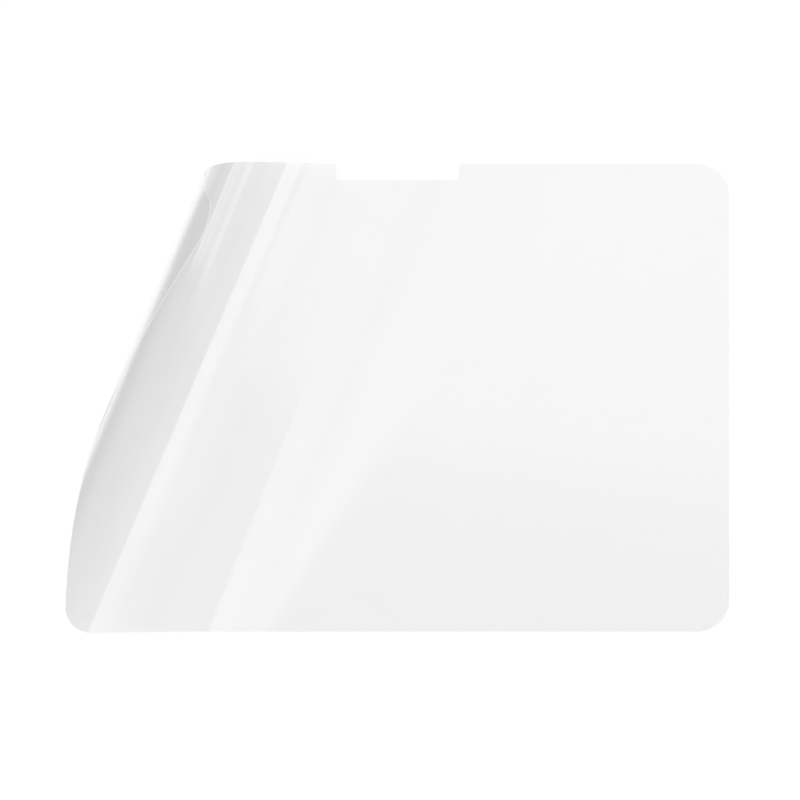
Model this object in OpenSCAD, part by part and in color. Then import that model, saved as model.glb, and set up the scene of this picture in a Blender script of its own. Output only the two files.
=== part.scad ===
// Clear screen protector film for an 11-inch-class tablet, one piece with a camera notch.
// It lies on a table, and one end still curls up and over from having been rolled.
// X runs along the film's long side, +Y points to the edge with the notch, +Z is up.
// The origin is the middle of the film's outline, on its underside.

/* [Film] */
// Length of the flat film, along the tablet's long side
film_w = 243; // [225:1:300]
// Width of the flat film, along the tablet's short side
film_h = 171.4; // [150:0.2:220]
// Thickness of the film
film_t = 0.2; // [0.15:0.05:0.5]
// Radius of the film's four corners
corner_r = 11.7; // [5:0.1:20]

/* [Camera notch] */
// Width of the notch, along the film's edge
notch_w = 44.9; // [20:0.1:60]
// Depth of the notch, in from the film's edge
notch_d = 5.9; // [4.5:0.1:12]
// Radius of the notch's corners, on its floor and at its mouth
notch_r = 1; // [0.5:0.1:2]

/* [Curl] */
// Length of film that is curled, back from the tip of the curled corner
curl_len = 96.4; // [70:0.2:110]
// How far the film has turned over at that tip, in degrees
curl_turn = 123; // [40:1:150]
// Slant of the curl, away from the film's short side, in degrees
curl_lean = 22.5; // [10:0.5:35]

/* [Hidden] */
$fn = 96;

// Number of flat strips that the curl is made of
curl_strips = 96;
// How far the curled piece and the flat piece share the same flat film at their joint
joint_lap = 2;
// Height of the notch's cut above the table: the film has only just begun to rise there
notch_cut_h = 8;

// Unit vectors on the flat film: across the curl, towards its tip, and along the curl
across = [-cos(curl_lean), sin(curl_lean)];
along = [sin(curl_lean), cos(curl_lean)];

// Middles of the four corner arcs
corner_x = film_w / 2 - corner_r;
corner_y = film_h / 2 - corner_r;
corners = [for (x = [-corner_x, corner_x], y = [-corner_y, corner_y]) [x, y]];

// Distances across the curl from the origin: of the tip, and of the line where the curl starts
tip_at = [-corner_x, corner_y] * across + corner_r;
start_at = tip_at - curl_len;

// A line along the curl, at distance d across it, lies in a piece of the film's outline
// from one place along itself to another. These give that pair, reversed where it misses.
MISS = [film_w + film_h, -film_w - film_h];
function span_in_box(d, half_x, half_y) =
    let (
        x = d * across.x,
        y = d * across.y,
        from = max((-half_x - x) / along.x, (-half_y - y) / along.y),
        to = min((half_x - x) / along.x, (half_y - y) / along.y)
    )
    from < to ? [from, to] : MISS;
function span_in_corner(d, middle) =
    let (
        off = d - middle * across,
        place = middle * along,
        half = sqrt(max(0, corner_r * corner_r - off * off))
    )
    half > 0 ? [place - half, place + half] : MISS;
// The outline is convex, so its own span runs from the first of these to the last
function span(d) =
    let (
        spans = concat(
            [span_in_box(d, film_w / 2, corner_y), span_in_box(d, corner_x, film_h / 2)],
            [for (middle = corners) span_in_corner(d, middle)]
        )
    )
    [min([for (s = spans) s[0]]), max([for (s = spans) s[1]])];

// Stations along the curled film, closer together towards the round tip
function station(i) = curl_len * (1 - pow(1 - i / curl_strips, 2));
// How far the film has turned at s: the bend swells smoothly and dies away at both ends
function turn(s) = curl_turn * (1 - cos(180 * s / curl_len)) / 2;
// The run across and the rise of one strip, which keeps the film's length
function strip(i) =
    let (
        from = station(i),
        to = station(i + 1),
        slope = turn((from + to) / 2)
    )
    (to - from) * [cos(slope), sin(slope)];
// The underside's profile: its run across and its height at each station
profile = [for (i = 0, p = [0, 0]; i < curl_strips; p = p + strip(i), i = i + 1) p];

// One ring round the film's section: its underside's two ends, then its top's two ends
function ring(d, run, rise, slope) =
    let (
        ends = span(d),
        foot = (start_at + run) * across,
        lift = film_t * [-sin(slope) * across.x, -sin(slope) * across.y, cos(slope)],
        near = [each foot + ends[0] * along, rise],
        far = [each foot + ends[1] * along, rise]
    )
    [near, far, far + lift, near + lift];

module film_outline() {
    square([film_w, 2 * corner_y], center = true);
    square([2 * corner_x, film_h], center = true);
    for (middle = corners) translate(middle) circle(corner_r);
}

// The flat film, up to the middle of its joint with the curled piece
module flat_film() {
    reach = film_w + film_h;
    linear_extrude(film_t)
        intersection() {
            film_outline();
            rotate(-curl_lean)
                translate([joint_lap / 2 - start_at, -reach])
                    square([2 * reach, 2 * reach]);
        }
}

// The curled end, as one closed skin of strips along the curl
module curled_film() {
    rings = [
        ring(start_at - joint_lap, -joint_lap, 0, 0),
        for (i = [0 : curl_strips - 1])
            ring(start_at + station(i), profile[i].x, profile[i].y, turn(station(i)))
    ];
    last = 4 * (len(rings) - 1);
    polyhedron(
        points = [for (r = rings, p = r) p],
        faces = [
            [3, 2, 1, 0],
            for (i = [0 : 4 : last - 4], k = [0 : 3])
                let (next = (k + 1) % 4)
                [i + k, i + next, i + next + 4, i + k + 4],
            [last, last + 1, last + 2, last + 3]
        ]
    );
}

// Cutter for the camera notch, with round corners on its floor and a rounded mouth
module notch_cut() {
    floor_y = film_h / 2 - notch_d;
    translate([0, 0, -notch_cut_h / 2])
        linear_extrude(1.5 * notch_cut_h) {
            translate([-notch_w / 2, floor_y + notch_r])
                square([notch_w, notch_d]);
            translate([notch_r - notch_w / 2, floor_y])
                square([notch_w - 2 * notch_r, notch_d]);
            for (side = [-1, 1]) {
                translate([side * (notch_w / 2 - notch_r), floor_y + notch_r])
                    circle(notch_r);
                difference() {
                    translate([side * notch_w / 2, film_h / 2])
                        square(2 * notch_r, center = true);
                    translate([side * (notch_w / 2 + notch_r), film_h / 2 - notch_r])
                        circle(notch_r);
                }
            }
        }
}

module film() {
    color([0.9, 0.92, 0.93, 0.5])
        difference() {
            union() {
                flat_film();
                curled_film();
            }
            notch_cut();
        }
}

film();
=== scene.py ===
from collections import namedtuple
import math

import bmesh
import bpy
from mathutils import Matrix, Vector


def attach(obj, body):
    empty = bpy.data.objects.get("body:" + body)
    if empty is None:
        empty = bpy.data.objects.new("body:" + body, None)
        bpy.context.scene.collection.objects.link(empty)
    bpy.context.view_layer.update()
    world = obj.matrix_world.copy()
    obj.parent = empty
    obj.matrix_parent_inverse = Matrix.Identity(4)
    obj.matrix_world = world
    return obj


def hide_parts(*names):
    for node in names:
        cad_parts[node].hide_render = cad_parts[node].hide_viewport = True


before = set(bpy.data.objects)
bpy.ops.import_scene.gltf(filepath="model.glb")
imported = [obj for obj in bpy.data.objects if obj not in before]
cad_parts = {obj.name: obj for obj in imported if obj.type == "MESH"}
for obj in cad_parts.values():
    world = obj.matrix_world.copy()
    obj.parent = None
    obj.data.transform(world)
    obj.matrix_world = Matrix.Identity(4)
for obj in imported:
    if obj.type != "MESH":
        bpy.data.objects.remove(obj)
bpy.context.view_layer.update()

MM = 0.001

# Driving sizes of the film, in millimetres and degrees, as the solid has them
FILM_W, FILM_H, FILM_T = 243.0, 171.4, 0.2
CORNER_R = 11.7
NOTCH_W, NOTCH_D, NOTCH_R = 44.9, 5.9, 1.0
CURL_LEN, CURL_TURN, CURL_LEAN = 96.4, 123.0, 22.5

# Level directions: across the curl, towards its tip, and along the curl, towards the back
LEAN = math.radians(CURL_LEAN)
ACROSS = Vector((-math.cos(LEAN), math.sin(LEAN)))
ALONG = Vector((math.sin(LEAN), math.cos(LEAN)))

# The film leaves the table a little ahead of its curl, and slopes up gently until the curl's
# own slope takes over: (millimetres from where the curl starts, degrees)
LIFT_SLOPE = [(-15.0, 0.0), (-12.4, 2.0), (-5.0, 2.6), (9.0, 3.0), (25.0, 0.0)]
# By the time that the curl has turned this far, in degrees, nothing of the lift is left
LIFT_FADE = 5.0

# How finely the film is meshed, in millimetres: the curl's strips, the flat part's strips, and
# the cuts that divide both. Near the tip a strip is a share of what is left, but not narrower
# than TIP_STEP.
CURL_STEP, FLAT_STEP, ALONG_STEP = 0.8, 4.0, 4.0
TIP_SHARE, TIP_STEP = 0.1, 0.05
# Steps in a corner's arc, which are doubled at the curl's free corner, in an arc of the notch,
# and in the sum that gives the curl's path
CORNER_STEPS, NOTCH_STEPS = 24, 6
PATH_STEPS = 4000
# Points this close to a cut are on it, and points this close to each other are one
ON_CUT, SAME_POINT = 1e-4, 1e-3

# The photograph's frame: its side in pixels, the film's scale and place in it, and the
# camera's height in millimetres
PHOTO_SIDE = 800
MM_PER_PIXEL = 0.3665
FILM_MIDDLE = (397.5, 397.8)
CAMERA_HEIGHT = 558.0
SENSOR = 36.0

# One side of the film. Each list of stops goes against how far the film is turned from the
# eye, from 0, face on, to 1, edge on.
# gloss and rim: how much of the mirrored light comes back, the higher of the two
# gloss_at_back: the same as gloss, for the end of the curl that is towards the back
# through: how much of the light from behind comes through
# tints_light: whether light on its way to the floor is dimmed too, or only what the camera sees
Side = namedtuple("Side", "name gloss gloss_at_back rim through tints_light")

# Against the light the steep part of the curl is a soft grey with a pale rim
UPPER_SIDE = Side(
    name="film_upper_side",
    gloss=[(0.0, 1.0), (0.12, 1.0), (0.215, 0.05), (1.0, 0.05)],
    gloss_at_back=[
        (0.0, 1.0), (0.2, 0.8), (0.26, 0.8), (0.3, 0.95), (0.318, 0.9), (0.33, 0.05), (1.0, 0.05),
    ],
    rim=[(0.0, 0.0), (0.59, 0.06), (0.74, 0.9), (0.82, 1.0), (1.0, 1.0)],
    through=[
        (0.0, 0.947), (0.034, 0.944), (0.06, 0.926), (0.09, 0.9), (0.125, 0.879),
        (0.171, 0.865), (0.235, 0.853), (0.32, 0.838), (0.43, 0.822), (0.5, 0.82),
        (0.6, 0.864), (0.68, 0.916), (0.76, 0.965), (1.0, 1.0),
    ],
    tints_light=True,
)
# The underside's silicone keeps its gloss
UNDERSIDE = Side(
    name="film_underside",
    gloss=[(0.0, 1.0), (0.3, 0.6), (0.6, 0.5), (1.0, 0.5)],
    gloss_at_back=[(0.0, 1.0), (0.3, 0.6), (0.6, 0.5), (1.0, 0.5)],
    rim=[(0.0, 0.0), (0.6, 0.5), (0.72, 0.8), (0.82, 1.0), (1.0, 1.0)],
    through=[(0.0, 0.9), (0.3, 0.9), (0.45, 1.0), (1.0, 1.0)],
    tints_light=False,
)

# Places on the film as it lies, in metres from its middle across or along the curl. Between
# the two places of a pair the look changes smoothly: here, to the gloss at the back.
BACK_ALONG = (8.0 * MM, 25.0 * MM)
# The flat part has its full gloss at every slant, and painted shade: its see-through colour is
# made a little greyer, for the film's own shade on the floor that shows through it
FLAT_ACROSS = (60.0 * MM, 48.0 * MM)
FLAT_PAINTED_SHADE = 0.029
# Painted light: where the film starts to rise, its see-through colour is made a little paler, as
# if lit from under it
RISE_ACROSS = (47.0 * MM, 57.0 * MM)
RISE_END_ACROSS = (72.0 * MM, 66.0 * MM)
RISE_ALONG = (-95.0 * MM, -60.0 * MM)
RISE_END_ALONG = (60.0 * MM, 35.0 * MM)
RISE_PAINTED_LIGHT = 0.028
# Painted light: the curl's free corner, which has no other part of the film under it, is made
# paler where it is steep, by these stops
CORNER_ALONG = (38.0 * MM, 43.0 * MM)
CORNER_ACROSS = (72.0 * MM, 80.0 * MM)
CORNER_PAINTED_LIGHT = [(0.0, 0.0), (0.45, 0.0), (0.57, 0.1), (0.67, 0.13), (0.8, 0.06), (1.0, 0.0)]

# Clear polyester. The rolled sheet is a little uneven: it has a faint waviness, some 45 mm
# long, and finer changes in its polish.
FILM_IOR = 1.57
WAVES_SCALE, WAVES_DETAIL, WAVES_HEIGHT = 22.0, 1.0, 0.02 * MM
POLISH_SCALE, POLISH_DETAIL, POLISH_SPREAD = 260.0, 4.0, (0.3, 0.7)
ROUGHNESS = (0.025, 0.05)

# The cut edge: its nicks, how pale they leave it, and how much of its light comes through it
NICKS_SCALE, NICKS_DETAIL, NICKS_SPREAD = 900.0, 2.0, (0.35, 0.65)
EDGE_SHADE = (0.94, 1.0)
EDGE_THROUGH = 0.85

# The floor, in metres, just under the film
FLOOR_SIDE, FLOOR_DROP = 60.0, 0.1 * MM
FLOOR_GREY = 0.93
FLOOR_GLOW = 0.12

# The studio's light, seen from the film. Angles are in degrees from straight up: round the
# curl's axis towards the right, or, for the tilt, towards the back. Straight above is a broad
# soft light that fades towards the front; a long strip light on its left; and on its right a
# bright border and then a narrow black flag, with two slits of light beyond its back corner.
OVERHEAD_BY_TILT = [
    (-30, 1.0), (-14, 0.58), (-8.3, 0.58), (-6.4, 0.62), (-4.9, 0.66), (-3.6, 0.73),
    (-2.5, 0.77), (-1.7, 0.92), (-0.75, 1.03), (0.2, 1.12), (3, 1.17), (5.8, 1.25), (8.6, 1.3),
    (14, 1.3), (30, 1.0),
]
STRIP_BY_ANGLE = [
    (-24, 1.0), (-12, 1.1), (-6, 1.18), (-2.7, 1.2), (-2.05, 0.98), (-1.4, 1.2), (-1.2, 1.22),
    (0, 1.22),
]
BORDER_BY_ANGLE = [
    (8, 0.95), (13, 0.85), (16, 0.8), (18.6, 0.78), (20.8, 1.26), (33.0, 1.26), (34.0, 0.0),
    (44, 0.0),
]
SLITS_BY_ANGLE = [
    (58, 0.42), (70, 0.48), (72, 1.2), (79, 1.2), (81.5, 0.65), (88, 0.75), (92, 1.0),
]
# The most light that a table may hold
LIGHT_SCALE = 2.0

# How the lights lie askew: the broad light's tilt, per degree of angle, and the angles of the
# strip's and the border's edges, in degrees per unit of direction towards the back
OVERHEAD_LEAN = 0.15
STRIP_LEAN = 10.3
BORDER_LEAN = 14.0
# The angles between which the strip gives way to the broad light, and that to the border
STRIP_END = (0.05, 0.9)
BORDER_START = (12.5, 15.5)
# The border's bright part fades towards the front, between these two directions
BRIGHT_START = (17.5, 20.0)
FADE_BACK, FADE_LIGHT = (-0.2, -0.03), (0.68, 1.0)
# Past the flag's back corner there is some light, and further round are the slits
SPILL_BACK, FLAG_SPILL = (-0.05, 0.02), 0.22
SLITS_BACK, SLITS_START = (-0.01, 0.03), (58.0, 60.0)
# Far enough towards the front or the back are only plain pale walls. Mirrored, they get
# darker towards the floor.
WALLS_BACK = (0.24, 0.3)
WALLS_LIGHT = 1.05
WALLS_BY_HEIGHT = [(0.0, 0.78), (0.25, 0.86), (0.6, 1.0), (1.0, 1.05)]


class Curl:
    """The bend of the film's left end, worked out from its length, its turn and its lean."""

    def __init__(self):
        corner = Vector((CORNER_R - FILM_W / 2, FILM_H / 2 - CORNER_R))
        self.start_at = corner.dot(ACROSS) + CORNER_R - CURL_LEN
        self.first = LIFT_SLOPE[0][0]
        self.step = (CURL_LEN - self.first) / PATH_STEPS
        self.path = [(self.first, 0.0)]
        for i in range(PATH_STEPS):
            slope = self.turn(self.first + (i + 0.5) * self.step)
            run, rise = self.path[-1]
            run += self.step * math.cos(slope)
            rise += self.step * math.sin(slope)
            self.path.append((run, rise))

    def turn(self, s):
        """How far the film has turned at s, in radians. The curl swells and dies away smoothly."""
        share = min(max(s / CURL_LEN, 0.0), 1.0)
        curled = CURL_TURN * (1 - math.cos(math.pi * share)) / 2
        lifted = between(LIFT_SLOPE, s) * max(1 - curled / LIFT_FADE, 0.0)
        return math.radians(curled + lifted)

    def place(self, s):
        """The run across and the rise of the film's underside at s."""
        if s <= self.first:
            return s, 0.0
        i = (min(s, CURL_LEN) - self.first) / self.step
        low = min(int(i), PATH_STEPS - 1)
        (run_0, rise_0), (run_1, rise_1) = self.path[low], self.path[low + 1]
        part = i - low
        return run_0 + (run_1 - run_0) * part, rise_0 + (rise_1 - rise_0) * part

    def bend(self, point, lift):
        """Where a point of the flat film goes, with lift above the underside. Millimetres."""
        s = point.dot(ACROSS) - self.start_at
        slope = self.turn(s)
        run, rise = self.place(s)
        run -= lift * math.sin(slope)
        rise += lift * math.cos(slope)
        flat = (self.start_at + run) * ACROSS + point.dot(ALONG) * ALONG
        return Vector((flat.x, flat.y, rise))


def between(stops, value):
    """The value of a broken line through the stops, which goes on level beyond them."""
    if value <= stops[0][0]:
        return stops[0][1]
    for (x_0, y_0), (x_1, y_1) in zip(stops, stops[1:]):
        if value <= x_1:
            return y_0 + (y_1 - y_0) * (value - x_0) / (x_1 - x_0)
    return stops[-1][1]


def arc(x, y, radius, start, end, steps):
    """Points on an arc round x, y from start to end, in degrees."""
    middle = Vector((x, y))
    angles = [math.radians(start + (end - start) * i / steps) for i in range(steps + 1)]
    return [middle + radius * Vector((math.cos(a), math.sin(a))) for a in angles]


def film_outline():
    """The flat film's outline with its notch, anticlockwise from the lower right corner."""
    x, y = FILM_W / 2 - CORNER_R, FILM_H / 2 - CORNER_R
    mouth_x, mouth_y = NOTCH_W / 2 + NOTCH_R, FILM_H / 2 - NOTCH_R
    floor_x, floor_y = NOTCH_W / 2 - NOTCH_R, FILM_H / 2 - NOTCH_D + NOTCH_R
    return [
        *arc(x, -y, CORNER_R, -90, 0, CORNER_STEPS),
        *arc(x, y, CORNER_R, 0, 90, CORNER_STEPS),
        *arc(mouth_x, mouth_y, NOTCH_R, 90, 180, NOTCH_STEPS),
        *arc(floor_x, floor_y, NOTCH_R, 0, -90, NOTCH_STEPS),
        *arc(-floor_x, floor_y, NOTCH_R, -90, -180, NOTCH_STEPS),
        *arc(-mouth_x, mouth_y, NOTCH_R, 0, 90, NOTCH_STEPS),
        *arc(-x, y, CORNER_R, 90, 180, 2 * CORNER_STEPS),
        *arc(-x, -y, CORNER_R, 180, 270, CORNER_STEPS),
    ]


def cut_lines(curl):
    """The lines that divide the flat film, each as a point and a normal."""
    lines = []
    s = curl.first
    while s < CURL_LEN:
        lines.append((ACROSS * (curl.start_at + s), ACROSS))
        s += min(CURL_STEP, max((CURL_LEN - s) * TIP_SHARE, TIP_STEP))
    reach = FILM_W + FILM_H
    for i in range(1, int(reach / FLAT_STEP)):
        lines.append((ACROSS * (curl.start_at + curl.first - i * FLAT_STEP), ACROSS))
    for i in range(-int(reach / ALONG_STEP), int(reach / ALONG_STEP)):
        lines.append((ALONG * (i * ALONG_STEP), ALONG))
    return lines


def flat_mesh(curl):
    """The flat film's points and faces, and its rim as pairs of points. All in millimetres."""
    flat = bmesh.new()
    flat.faces.new([flat.verts.new((p.x, p.y, 0)) for p in film_outline()])
    for point, normal in cut_lines(curl):
        bmesh.ops.bisect_plane(
            flat,
            geom=flat.verts[:] + flat.edges[:] + flat.faces[:],
            plane_co=(point.x, point.y, 0),
            plane_no=(normal.x, normal.y, 0),
            dist=ON_CUT,
        )
    bmesh.ops.remove_doubles(flat, verts=flat.verts, dist=SAME_POINT)
    flat.verts.index_update()
    points = [Vector((v.co.x, v.co.y)) for v in flat.verts]
    faces = [[v.index for v in f.verts] for f in flat.faces]
    rim = [rim_pair(e) for e in flat.edges if e.is_boundary]
    flat.free()
    return points, faces, rim


def rim_pair(edge):
    """A rim edge's two corners, in the order in which its one face goes round them."""
    loop = edge.link_loops[0]
    return loop.vert.index, loop.link_loop_next.vert.index


def film_mesh(curl):
    """One closed skin: the underside and the upper side, joined round the rim."""
    points, faces, rim = flat_mesh(curl)
    count = len(points)
    verts = [curl.bend(p, 0) * MM for p in points]
    verts += [curl.bend(p, FILM_T) * MM for p in points]
    skins = [list(reversed(f)) for f in faces] + [[i + count for i in f] for f in faces]
    walls = [[a, b, b + count, a + count] for a, b in rim]
    mesh = bpy.data.meshes.new("clear_film")
    mesh.from_pydata(verts, [], skins + walls)
    mesh.validate()
    # The faces are the underside's, then the upper side's, then the rim's, as the materials are
    for polygon in mesh.polygons:
        polygon.use_smooth = True
        polygon.material_index = min(polygon.index // len(faces), 2)
    sharp = {frozenset(w[:2]) for w in walls} | {frozenset(w[2:]) for w in walls}
    for edge in mesh.edges:
        edge.use_edge_sharp = frozenset(edge.vertices) in sharp
    mesh.update()
    return mesh


def new_material(name):
    """A material without nodes in its tree. Returns both."""
    mat = bpy.data.materials.new(name)
    mat.use_nodes = True
    mat.node_tree.nodes.clear()
    return mat, mat.node_tree


def add(tree, kind, **values):
    """A node, with values for its own settings and, as in_ and a number or name, its inputs."""
    node = tree.nodes.new(kind)
    for key, value in values.items():
        if key.startswith("in_"):
            name = key[3:]
            node.inputs[int(name) if name.isdigit() else name].default_value = value
        else:
            setattr(node, key, value)
    return node


def wire(tree, *pairs):
    """Links, each from an output to an input."""
    for out, into in pairs:
        tree.links.new(out, into)


def put(tree, socket, value):
    """Gives an input a plain number or another node's output."""
    if isinstance(value, (int, float)):
        socket.default_value = value
    else:
        wire(tree, (value, socket))


def maths(tree, operation, *values):
    """A Math node on outputs or plain numbers. Returns its output, as the next ones do."""
    node = add(tree, "ShaderNodeMath", operation=operation)
    for socket, value in zip(node.inputs, values):
        put(tree, socket, value)
    return node.outputs[0]


def mixed(tree, share, first, second):
    """first where share is 0, second where it is 1."""
    node = add(tree, "ShaderNodeMix", data_type="FLOAT")
    put(tree, node.inputs[0], share)
    put(tree, node.inputs[2], first)
    put(tree, node.inputs[3], second)
    return node.outputs[0]


def spread(tree, value, low, high, first=0.0, last=1.0):
    """first below low, last above high, and straight between them."""
    node = add(tree, "ShaderNodeMapRange", in_1=low, in_2=high, in_3=first, in_4=last)
    wire(tree, (value, node.inputs[0]))
    return node.outputs[0]


def rising(tree, value, low, high):
    """0 below low, 1 above high, smooth between them. It falls where high is below low."""
    node = add(tree, "ShaderNodeMapRange", in_1=low, in_2=high)
    node.interpolation_type = "SMOOTHSTEP"
    wire(tree, (value, node.inputs[0]))
    return node.outputs[0]


def curve_of(tree, value, stops, low=0.0, high=1.0):
    """A broken line through the stops, for a value that runs from low to high."""
    ramp = add(tree, "ShaderNodeValToRGB")
    wire(tree, (spread(tree, value, low, high), ramp.inputs[0]))
    points = ramp.color_ramp.elements
    while len(points) < len(stops):
        points.new(1.0)
    for point, (at, grey) in zip(points, stops):
        point.position = (at - low) / (high - low)
        point.color = (grey, grey, grey, 1)
    return ramp.outputs[0]


def smooth_curve(tree, value, stops):
    """Like curve_of from 0 to 1, but without a kink at the stops."""
    node = add(tree, "ShaderNodeFloatCurve")
    wire(tree, (value, node.inputs["Value"]))
    points = node.mapping.curves[0].points
    while len(points) < len(stops):
        points.new(0.5, 0.5)
    for point, stop in zip(points, stops):
        point.location = stop
    node.mapping.update()
    return node.outputs[0]


def light_curve(tree, value, stops):
    """Light by the stops of a table. A ramp holds up to 1, so it is scaled down and up again."""
    scaled = [(at, level / LIGHT_SCALE) for at, level in stops]
    grey = curve_of(tree, value, scaled, stops[0][0], stops[-1][0])
    return maths(tree, "MULTIPLY", grey, LIGHT_SCALE)


def reach_along(tree, vector, direction):
    """How far a place or a direction goes in a level direction."""
    node = add(tree, "ShaderNodeVectorMath", operation="DOT_PRODUCT")
    node.inputs[1].default_value = (direction.x, direction.y, 0)
    wire(tree, (vector, node.inputs[0]))
    return node.outputs["Value"]


def noise(tree, place, scale, detail):
    """Smooth noise, mostly between 0.3 and 0.7."""
    node = add(tree, "ShaderNodeTexNoise", in_Scale=scale, in_Detail=detail)
    wire(tree, (place, node.inputs["Vector"]))
    return node.outputs[0]


def film_material(side):
    """Clear glossy plastic: each pass through it loses what its two faces mirror."""
    mat, tree = new_material(side.name)
    facing = add(tree, "ShaderNodeLayerWeight", in_Blend=0.5).outputs["Facing"]
    back_facing = add(tree, "ShaderNodeNewGeometry").outputs["Backfacing"]
    front = maths(tree, "SUBTRACT", 1.0, back_facing)
    place = add(tree, "ShaderNodeTexCoord").outputs["Object"]
    across = reach_along(tree, place, ACROSS)
    along = reach_along(tree, place, ALONG)
    mirror = add(tree, "ShaderNodeBsdfGlossy")
    clear = add(tree, "ShaderNodeBsdfTransparent")
    mix = add(tree, "ShaderNodeMixShader")
    out = add(tree, "ShaderNodeOutputMaterial")
    wire(
        tree,
        (polish(tree, place), mirror.inputs["Roughness"]),
        (waviness(tree, place), mirror.inputs["Normal"]),
        (mirrored_light(tree, side, facing, across, along), mirror.inputs["Color"]),
        (passed_light(tree, side, facing, front, across, along), clear.inputs["Color"]),
        (mirrored_share(tree, front), mix.inputs[0]),
        (clear.outputs[0], mix.inputs[1]),
        (mirror.outputs[0], mix.inputs[2]),
        (mix.outputs[0], out.inputs[0]),
    )
    return mat


def mirrored_share(tree, front):
    """Two faces mirror 2R / (1 + R) between them. The skin that a ray meets first carries both."""
    fresnel = add(tree, "ShaderNodeFresnel", in_IOR=FILM_IOR).outputs[0]
    twice = maths(tree, "MULTIPLY", fresnel, 2.0)
    both = maths(tree, "DIVIDE", twice, maths(tree, "ADD", fresnel, 1.0))
    return maths(tree, "MULTIPLY", both, front)


def mirrored_light(tree, side, facing, across, along):
    """How much of the mirrored light a side gives back."""
    gloss = mixed(
        tree, rising(tree, along, *BACK_ALONG),
        curve_of(tree, facing, side.gloss), curve_of(tree, facing, side.gloss_at_back),
    )
    gloss = maths(tree, "MAXIMUM", gloss, curve_of(tree, facing, side.rim))
    return maths(tree, "MAXIMUM", gloss, rising(tree, across, *FLAT_ACROSS))


def passed_light(tree, side, facing, front, across, along):
    """How much of the light from behind a side lets through, with painted shade on the flat part
    and painted light where the film rises and in the curl's free corner.
    """
    # Painted shade: the flat part's see-through colour is made a little greyer
    flat = maths(tree, "MULTIPLY", rising(tree, across, *FLAT_ACROSS), FLAT_PAINTED_SHADE)
    through = smooth_curve(tree, facing, side.through)
    # Painted light where the film starts to rise
    through = maths(tree, "ADD", through, painted_rise_light(tree, across, along))
    through = maths(tree, "SUBTRACT", through, flat)
    # Painted light in the curl's free corner
    through = maths(tree, "ADD", through, painted_corner_light(tree, facing, across, along))
    through = maths(tree, "MINIMUM", through, 1.0)
    tinted = front
    if not side.tints_light:
        camera = add(tree, "ShaderNodeLightPath").outputs["Is Camera Ray"]
        tinted = maths(tree, "MULTIPLY", front, camera)
    passed = add(tree, "ShaderNodeMix", data_type="RGBA", in_6=(1, 1, 1, 1))
    wire(tree, (tinted, passed.inputs[0]), (through, passed.inputs[7]))
    return passed.outputs[2]


def painted_rise_light(tree, across, along):
    """Painted light: how much paler the film's see-through colour is made where it starts to rise.
    """
    rise = maths(
        tree, "MULTIPLY",
        rising(tree, across, *RISE_ACROSS), rising(tree, across, *RISE_END_ACROSS),
    )
    length = maths(
        tree, "MULTIPLY",
        rising(tree, along, *RISE_ALONG), rising(tree, along, *RISE_END_ALONG),
    )
    return maths(tree, "MULTIPLY", maths(tree, "MULTIPLY", rise, length), RISE_PAINTED_LIGHT)


def painted_corner_light(tree, facing, across, along):
    """Painted light: how much paler the film's see-through colour is made in the curl's free
    corner.
    """
    corner = maths(
        tree, "MULTIPLY",
        rising(tree, along, *CORNER_ALONG), rising(tree, across, *CORNER_ACROSS),
    )
    return maths(tree, "MULTIPLY", corner, curve_of(tree, facing, CORNER_PAINTED_LIGHT))


def waviness(tree, place):
    """The rolled sheet's faint waves, as a normal."""
    bump = add(tree, "ShaderNodeBump", in_Strength=1.0, in_Distance=WAVES_HEIGHT)
    waves = noise(tree, place, WAVES_SCALE, WAVES_DETAIL)
    wire(tree, (waves, bump.inputs["Height"]))
    return bump.outputs[0]


def polish(tree, place):
    """The rolled sheet's roughness."""
    fine = noise(tree, place, POLISH_SCALE, POLISH_DETAIL)
    return spread(tree, fine, *POLISH_SPREAD, *ROUGHNESS)


def cut_edge_material():
    """The film's cut edge: light led along inside the film comes out there, soft and white."""
    mat, tree = new_material("cut_edge")
    place = add(tree, "ShaderNodeTexCoord").outputs["Object"]
    nicks = noise(tree, place, NICKS_SCALE, NICKS_DETAIL)
    shade = spread(tree, nicks, *NICKS_SPREAD, *EDGE_SHADE)
    matt = add(tree, "ShaderNodeBsdfDiffuse")
    through = add(tree, "ShaderNodeBsdfTranslucent")
    mix = add(tree, "ShaderNodeMixShader", in_0=EDGE_THROUGH)
    out = add(tree, "ShaderNodeOutputMaterial")
    wire(
        tree,
        (shade, matt.inputs["Color"]),
        (shade, through.inputs["Color"]),
        (matt.outputs[0], mix.inputs[1]),
        (through.outputs[0], mix.inputs[2]),
        (mix.outputs[0], out.inputs[0]),
    )
    return mat


def make_film():
    """The one piece of the visual model, in place of the CAD film."""
    film = bpy.data.objects.new("screen_film", film_mesh(Curl()))
    bpy.context.collection.objects.link(film)
    film.data.materials.append(film_material(UNDERSIDE))
    film.data.materials.append(film_material(UPPER_SIDE))
    film.data.materials.append(cut_edge_material())
    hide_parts("film")
    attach(film, "root")


def seen_directly(tree):
    """1 for rays that see the backdrop: the camera's, mirrored ones and those through glass."""
    path = add(tree, "ShaderNodeLightPath")
    either = maths(
        tree, "MAXIMUM", path.outputs["Is Camera Ray"], path.outputs["Is Glossy Ray"]
    )
    return maths(tree, "MAXIMUM", either, path.outputs["Is Transmission Ray"])


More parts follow.
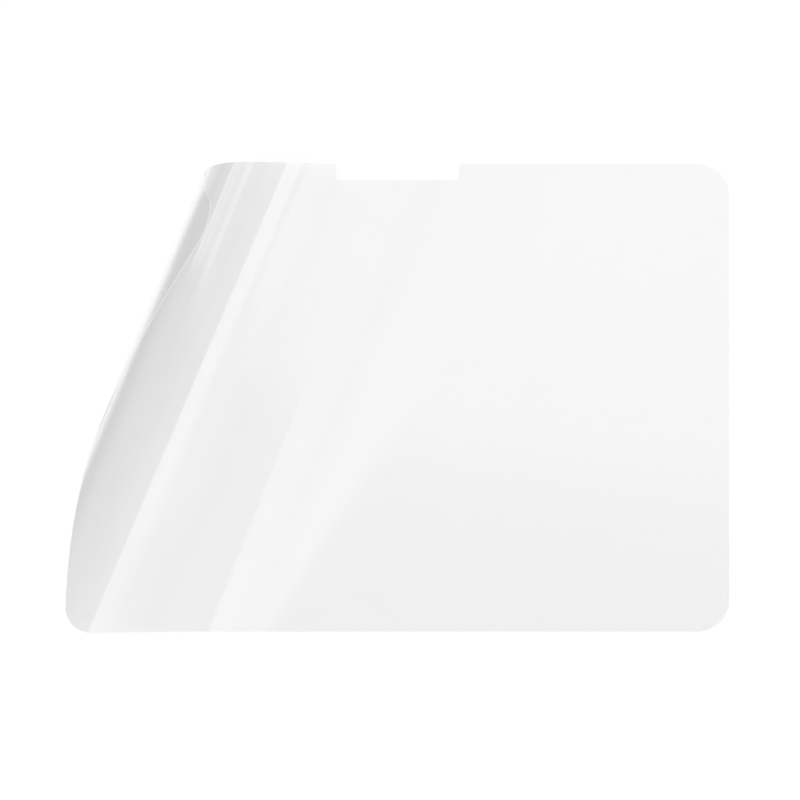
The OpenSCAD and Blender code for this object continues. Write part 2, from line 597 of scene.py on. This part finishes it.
def make_floor():
    """A plain white floor. Its own faint glow only lifts it to the white of the backdrop."""
    bpy.ops.mesh.primitive_plane_add(size=FLOOR_SIDE, location=(0, 0, -FLOOR_DROP))
    floor = bpy.context.object
    floor.name = "floor"
    mat, tree = new_material("floor_white")
    grey = (FLOOR_GREY, FLOOR_GREY, FLOOR_GREY, 1)
    matt = add(tree, "ShaderNodeBsdfDiffuse", in_Color=grey)
    glow = add(tree, "ShaderNodeEmission")
    both = add(tree, "ShaderNodeAddShader")
    out = add(tree, "ShaderNodeOutputMaterial")
    strength = maths(tree, "MULTIPLY", seen_directly(tree), FLOOR_GLOW)
    wire(
        tree,
        (strength, glow.inputs["Strength"]),
        (matt.outputs[0], both.inputs[0]),
        (glow.outputs[0], both.inputs[1]),
        (both.outputs[0], out.inputs[0]),
    )
    floor.data.materials.append(mat)


def studio_light(tree, look):
    """How bright the studio is in a direction."""
    parts = add(tree, "ShaderNodeSeparateXYZ")
    wire(tree, (look, parts.inputs[0]))
    y, z = parts.outputs[1:]
    right = reach_along(tree, look, -ACROSS)
    back = reach_along(tree, look, ALONG)
    angle = maths(tree, "DEGREES", maths(tree, "ARCTAN2", right, z))
    tilt = maths(tree, "DEGREES", maths(tree, "ARCTAN2", y, z))
    tilt = maths(tree, "ADD", tilt, maths(tree, "MULTIPLY", angle, OVERHEAD_LEAN))
    strip_angle = maths(tree, "SUBTRACT", angle, maths(tree, "MULTIPLY", back, STRIP_LEAN))
    border_angle = maths(tree, "ADD", angle, maths(tree, "MULTIPLY", back, BORDER_LEAN))

    strip = light_curve(tree, angle, STRIP_BY_ANGLE)
    overhead = light_curve(tree, tilt, OVERHEAD_BY_TILT)
    light = mixed(tree, rising(tree, strip_angle, *STRIP_END), strip, overhead)

    bright = rising(tree, border_angle, *BRIGHT_START)
    fade = mixed(tree, bright, 1.0, spread(tree, back, *FADE_BACK, *FADE_LIGHT))
    border = maths(tree, "MULTIPLY", light_curve(tree, border_angle, BORDER_BY_ANGLE), fade)
    light = mixed(tree, rising(tree, border_angle, *BORDER_START), light, border)

    spill = maths(tree, "MULTIPLY", rising(tree, back, *SPILL_BACK), FLAG_SPILL)
    light = maths(tree, "MAXIMUM", light, spill)
    in_slits = maths(
        tree, "MULTIPLY", rising(tree, back, *SLITS_BACK), rising(tree, angle, *SLITS_START)
    )
    light = mixed(tree, in_slits, light, light_curve(tree, angle, SLITS_BY_ANGLE))

    mirrored = add(tree, "ShaderNodeLightPath").outputs["Is Glossy Ray"]
    walls = mixed(tree, mirrored, WALLS_LIGHT, light_curve(tree, z, WALLS_BY_HEIGHT))
    aside = rising(tree, maths(tree, "ABSOLUTE", back), *WALLS_BACK)
    return mixed(tree, aside, light, walls)


def make_world():
    """White behind everything. The lights round the film are soft and plain."""
    world = bpy.data.worlds.new("studio")
    world.use_nodes = True
    tree = world.node_tree
    tree.nodes.clear()
    look = add(tree, "ShaderNodeTexCoord").outputs["Generated"]
    camera = add(tree, "ShaderNodeLightPath").outputs["Is Camera Ray"]
    strength = mixed(tree, camera, studio_light(tree, look), 1.0)
    background = add(tree, "ShaderNodeBackground", in_Color=(1, 1, 1, 1))
    out = add(tree, "ShaderNodeOutputWorld")
    wire(
        tree,
        (strength, background.inputs["Strength"]),
        (background.outputs[0], out.inputs[0]),
    )
    bpy.context.scene.world = world


def make_camera():
    """Straight down from where the photograph was taken."""
    data = bpy.data.cameras.new("camera")
    camera = bpy.data.objects.new("camera", data)
    bpy.context.collection.objects.link(camera)
    middle = PHOTO_SIDE / 2
    x = (middle - FILM_MIDDLE[0]) * MM_PER_PIXEL
    y = (FILM_MIDDLE[1] - middle) * MM_PER_PIXEL
    camera.location = (x * MM, y * MM, CAMERA_HEIGHT * MM)
    data.sensor_width = SENSOR
    data.lens = SENSOR * CAMERA_HEIGHT / (PHOTO_SIDE * MM_PER_PIXEL)
    bpy.context.scene.camera = camera
    bpy.context.scene.view_settings.view_transform = "Standard"


make_camera()
make_world()
make_floor()
make_film()
